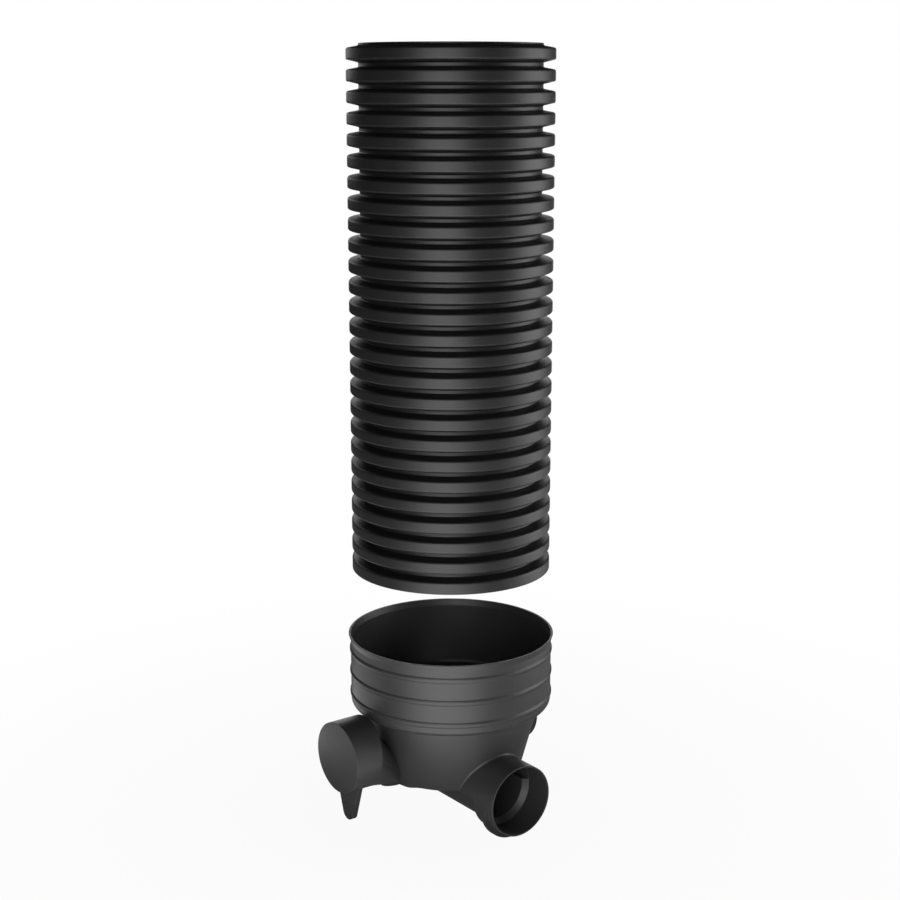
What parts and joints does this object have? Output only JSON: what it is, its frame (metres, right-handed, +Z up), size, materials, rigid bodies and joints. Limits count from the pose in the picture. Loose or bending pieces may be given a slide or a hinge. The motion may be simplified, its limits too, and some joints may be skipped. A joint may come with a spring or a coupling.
{
  "type": "drain inspection chamber",
  "caption": "Moulded round drain chamber base with a channel through it, pipe sockets, a closed side inlet and a closed boss, and a corrugated riser pipe lifted above its socket.",
  "frame": {"origin": "on the riser's axis, at the level of the lowest point of the feet, where the trench bed carries it", "axes": "+Z up along the riser's axis, +X out of the outlet socket's mouth, and the closed side inlet points along -Y"},
  "size_m": [0.364, 0.3899, 1.2221],
  "materials": {
    "moulding": "satin",
    "corrugated_pipe": "satin"
  },
  "bodies": {
    "base": {"chamber_base": "moulding"},
    "riser": {"riser_pipe": "corrugated_pipe"}
  },
  "joints": [
    {"name": "riser_slide", "type": "slide", "parent": "base", "child": "riser", "axis": [0, 0, 1], "range_m": [-0.2244, 0]}
  ]
}
